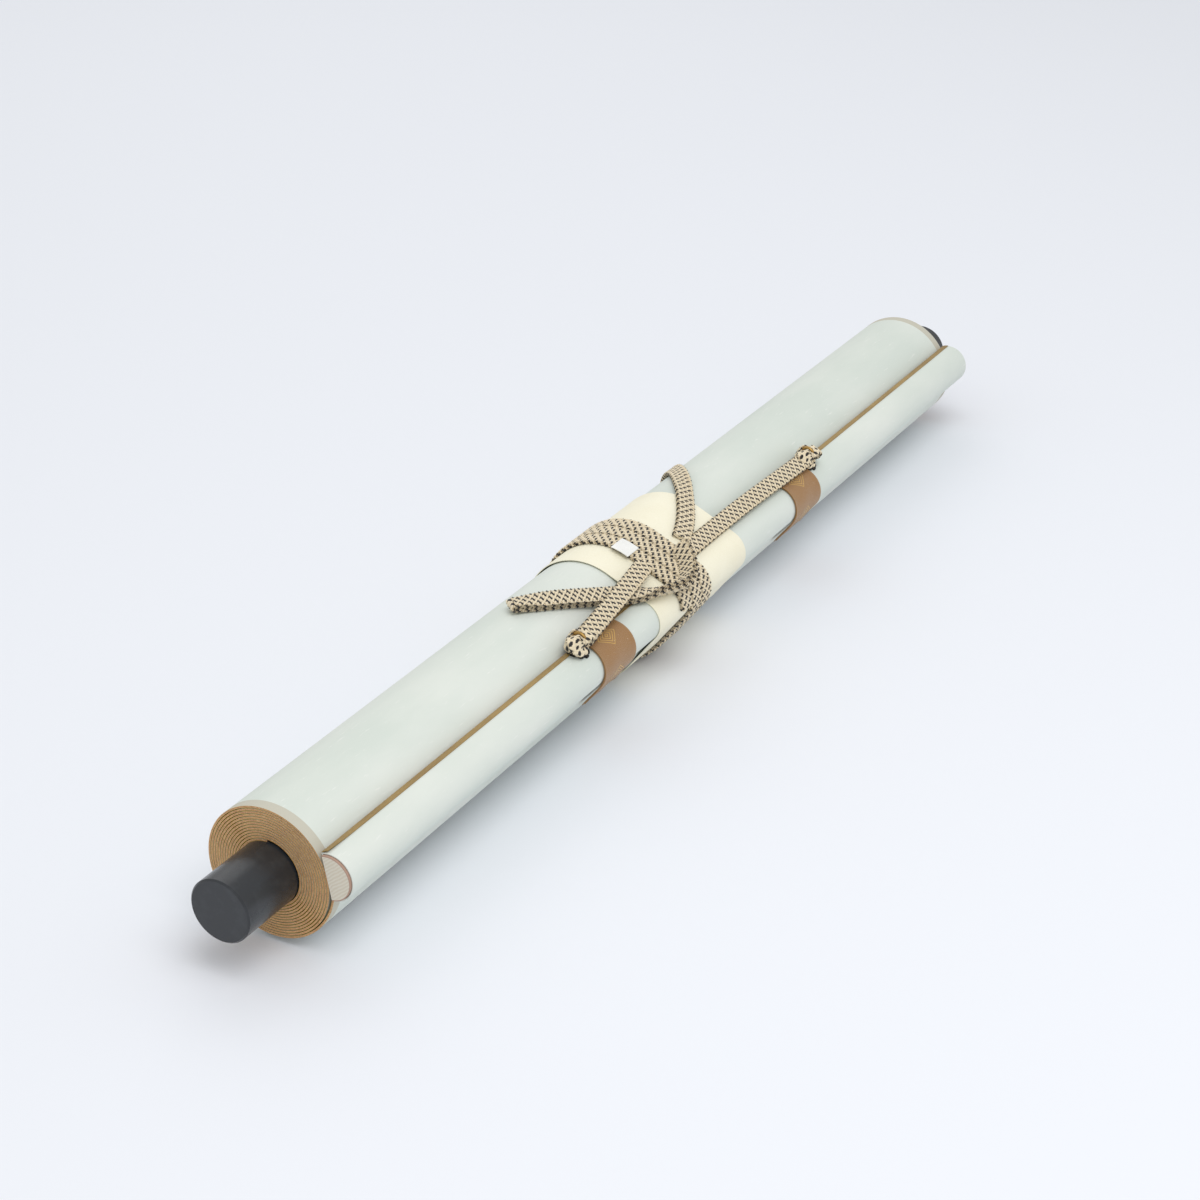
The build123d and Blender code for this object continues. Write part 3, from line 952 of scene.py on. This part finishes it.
@dataclass
class Cords:
    """The hanging cord and the wrapping cord, of one flat braid."""

    section: Section
    braid: FlatBraid
    eyelet_x: float = 111.3
    turns: int = 3
    turn_points: int = 120
    first_turn: float = -34.2
    turn_height: float = 1.75
    turn_start: float = -12.0
    step_start: float = 0.62
    step_share: float = 0.25
    twist: float = 62.0
    twist_start: float = 0.42
    twist_share: float = 0.22
    bight_gap: float = 0.12
    tail_settle: float = 1.0
    knot_width: float = 6.4
    knot_thickness: float = 2.3
    knot_height: float = 5.6
    eyelet_angle: float = 94.0
    bight_route: tuple = (
        (-111.0, 38.0, 2.6), (-104.0, 32.5, 2.5), (-92.0, 25.5, 2.4), (-79.0, 18.2, 2.2),
        (-67.0, 11.4, 2.2), (-57.0, 4.6, 2.8), (-47.0, -0.6, 4.2), (-36.0, -3.4, 5.4),
        (-26.0, -1.6, 5.4), (-18.0, 3.8, 5.3), (-13.5, 10.4, 5.2))
    tail_route: tuple = (
        (-4.0, 13.6, 3.0), (5.0, 16.6, 3.0), (19.0, 24.2, 3.0), (34.0, 33.2, 2.9),
        (48.0, 42.6, 2.8), (60.0, 52.6, 2.6), (69.0, 64.0, 2.5), (74.5, 76.0, 2.4),
        (77.0, 88.0, 2.4))
    left_route: tuple = (
        (-111.3, 4.6, 5.7), (-98.0, 6.0, 5.7), (-84.0, 7.8, 5.7), (-69.0, 9.6, 5.7),
        (-54.0, 11.6, 5.6), (-39.6, 13.8, 5.0))
    right_route: tuple = (
        (-10.6, 7.2, 1.8), (4.0, 7.4, 1.7), (20.0, 7.4, 1.7), (45.0, 7.2, 2.2),
        (70.0, 6.3, 2.8), (92.0, 5.4, 3.3), (111.3, 4.6, 3.8))

    def build(self) -> None:
        self.winding()
        self.lead("hanging_cord_left", self.left_route)
        self.lead("hanging_cord_right", self.right_route)
        self.bight()
        self.tail()
        self.knot("left_cord_knot", -self.eyelet_x)
        self.knot("right_cord_knot", self.eyelet_x)

    def stops(self, route: Sequence, settle: float = 0.0) -> list[Vector]:
        """Route on the outline as points in space."""
        return [self.section.around(x, run, height - settle)[0] for x, run, height in route]

    def outward(self, line: Sequence[Vector]) -> list[Vector]:
        """Outward normal of the wrapped roll for each point of a line."""
        normals = []
        section = self.section
        for point in line:
            y, z = point.y - section.axis[0], point.z - section.axis[1]
            angle = math.atan2(z, y) % FULL
            if angle < section.upper - 0.35 or angle > section.lower:
                use = angle
            else:
                use = section.upper
            normals.append(Vector((0.0, math.cos(use), math.sin(use))))
        return self.smoothed(normals)

    def smoothed(self, normals: list[Vector]) -> list[Vector]:
        """Normals averaged over their neighbours."""
        out = []
        for i in range(len(normals)):
            near = normals[max(0, i - 5):i + 6]
            out.append(sum(near, Vector()).normalized())
        return out

    def winding(self) -> None:
        """Turns side by side, stepping over where the roll hides the step."""
        total = self.section.loop_length()
        line, normals = [], []
        for i in range(self.turns * self.turn_points + 1):
            share = i / self.turn_points
            turn = min(int(share), self.turns - 1)
            part = share - turn
            step = eased((part - self.step_start) / self.step_share)
            step = step if turn < self.turns - 1 else 0.0
            x = self.first_turn + self.braid.width * (turn + step)
            point, normal = self.section.looped(
                x, self.turn_start + total * share, self.turn_height)
            line.append(point)
            normals.append(normal)
        ride(self.braid.build("cord_winding", line, normals), "wrapping_cord_winding")

    def lead(self, name: str, route: Sequence) -> None:
        """One visible lead of the hanging cord."""
        line = spline_line(name, self.stops(route))
        piece = ride(self.braid.build(name + "_braid", line, self.outward(line)), name)

    def bight(self) -> None:
        """Doubled loop: stacked flat at its fold, on edge where it comes out."""
        middle = spline_line("bight", self.stops(self.bight_route))
        normals = self.outward(middle)
        turned = []
        for i, normal in enumerate(normals):
            ahead = (middle[min(i + 1, len(middle) - 1)] - middle[max(i - 1, 0)]).normalized()
            share = i / (len(middle) - 1)
            side = ahead.cross(normal).normalized()
            angle = math.radians(self.twist) * eased((share - self.twist_start) / self.twist_share)
            turned.append(normal * math.cos(angle) - side * math.sin(angle))
        apart = self.braid.thickness / 2 + self.bight_gap
        for name, sign, nodes in (("bight_under", -1, ("wrapping_cord_bight",)),
                                  ("bight_over", 1, ())):
            line = [p + n * (sign * apart) for p, n in zip(middle, turned)]
            piece = ride(self.braid.build(name, line, turned), *nodes)
        self.fold(middle[0], (middle[0] - middle[1]).normalized(), turned[0])

    def fold(self, end: Vector, ahead: Vector, normal: Vector) -> None:
        """Fold that joins the two runs past the end of the loop's middle line."""
        radius = self.braid.thickness / 2 + self.bight_gap
        line, normals = [], []
        for i in range(17):
            angle = math.pi * (i / 16 - 0.5)
            out = normal * math.sin(angle) + ahead * math.cos(angle)
            line.append(end + out * radius + ahead * 0.2)
            normals.append(out)
        ride(self.braid.build("bight_fold", line, normals))

    def tail(self) -> None:
        """Single run that crosses the top of the roll."""
        line = spline_line("tail", self.stops(self.tail_route, self.tail_settle))
        piece = ride(self.braid.build("cord_tail", line, self.outward(line)),
                     "wrapping_cord_tail")

    def knot(self, node: str, x: float) -> None:
        """Knot tied through the eyelet at x, as a tight three-lobed loop."""
        angle = math.radians(self.eyelet_angle)
        out = Vector((0.0, math.cos(angle), math.sin(angle)))
        side = Vector((0.0, -math.sin(angle), math.cos(angle)))
        centre = self.section.stave_at(x) + out * (self.section.cover + self.knot_height)
        stops, count = [], 48
        for i in range(count + 1):
            t = FULL * i / count
            a = 4.6 * (math.sin(t) + 2.0 * math.sin(2.0 * t)) / 3.0
            b = 4.0 * (math.cos(t) - 2.0 * math.cos(2.0 * t)) / 3.0
            c = -2.3 * math.sin(3.0 * t)
            stops.append(centre + Vector((1.0, 0.0, 0.0)) * a * 1.35 + side * b * 1.05 + out * c)
        normals = [(p - centre).normalized() * 0.6 + out * 0.6 for p in stops]
        tight = FlatBraid(width=self.knot_width, thickness=self.knot_thickness,
                          finishes=self.braid.finishes)
        ride(tight.build(node + "_braid", stops, normals), node)


# ---- studio -----------------------------------------------------------------

@dataclass
class Studio:
    """Pale floor, soft lamps and the camera."""

    pale: tuple = linear(235, 238, 244)
    aim: Colour = (12.0, 30.27, -28.0)
    eye: Colour = (-941.4, -513.4, 533.9)
    lens: float = 77.33

    def build(self, axis: Point2) -> None:
        """Make the floor, lamps, world and camera."""
        self.floor()
        self.world()
        self.lamp("key_light", (-0.5, -0.7, 1.5), 1.1, 11.0)
        self.lamp("fill_light", (0.9, 0.9, 1.3), 1.4, 4.0)
        shift = Vector((0.0, axis[0], axis[1]))
        aim = (Vector(self.aim) + shift) * MM
        eye = (Vector(self.eye) + shift) * MM
        data = bpy.data.cameras.new("camera")
        data.lens = self.lens
        data.sensor_width = 36.0
        camera = bpy.data.objects.new("camera", data)
        camera.location = eye
        camera.rotation_euler = (aim - eye).to_track_quat("-Z", "Y").to_euler()
        bpy.context.scene.collection.objects.link(camera)
        bpy.context.scene.camera = camera
        bpy.context.scene.view_settings.view_transform = "Standard"

    def lamp(self, name: str, place: Colour, size: float, power: float) -> None:
        """Square lamp that faces the scroll."""
        data = bpy.data.lights.new(name, "AREA")
        data.size = size
        data.energy = power
        lamp = bpy.data.objects.new(name, data)
        lamp.location = place
        lamp.rotation_euler = (-Vector(place)).to_track_quat("-Z", "Y").to_euler()
        bpy.context.scene.collection.objects.link(lamp)

    def world(self) -> None:
        """World that lights softly and shows the pale background."""
        world = bpy.data.worlds.new("studio")
        bpy.context.scene.world = world
        world.use_nodes = True
        tree = world.node_tree
        light = tree.nodes["Background"]
        light.inputs["Color"].default_value = (1.0, 1.0, 1.0, 1.0)
        light.inputs["Strength"].default_value = 0.7
        shown = tree.nodes.new("ShaderNodeBackground")
        shown.inputs["Color"].default_value = self.pale
        path = tree.nodes.new("ShaderNodeLightPath")
        mix = tree.nodes.new("ShaderNodeMixShader")
        tree.links.new(path.outputs["Is Camera Ray"], mix.inputs[0])
        tree.links.new(light.outputs[0], mix.inputs[1])
        tree.links.new(shown.outputs[0], mix.inputs[2])
        tree.links.new(mix.outputs[0], tree.nodes["World Output"].inputs["Surface"])

    def floor(self) -> None:
        """Pale floor under the scroll."""
        graph = Graph("studio_floor")
        grain = graph.noise(3.0, 2.0)
        colour = graph.blend(graph.maths("MULTIPLY", grain, 0.1), self.pale, linear(228, 231, 238))
        graph.shade(Base_Color=colour, Roughness=0.9)
        graph.shader.inputs["Specular IOR Level"].default_value = 0.1
        half = 6000.0
        verts = [(-half, -half, 0), (half, -half, 0), (half, half, 0), (-half, half, 0)]
        piece = put("floor", verts, [(0, 1, 2, 3)], [graph.material])


def main() -> None:
    """Build the scroll over its frame, piece by piece."""
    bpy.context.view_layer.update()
    section = Section()
    Studio().build(section.axis)
    braid = FlatBraid(finishes=(Braid.CREAM.make(), Braid.BLACK.make()))
    Cords(section, braid).build()
    RolledSheet(section).build()
    cloth = Brocade().make()
    Ribbon(section, -93.0, "left_ribbon_cloth").build(cloth)
    Ribbon(section, 93.0, "right_ribbon_cloth").build(cloth)
    CadPieces(section).dress()


if __name__ == "__main__":
    main()
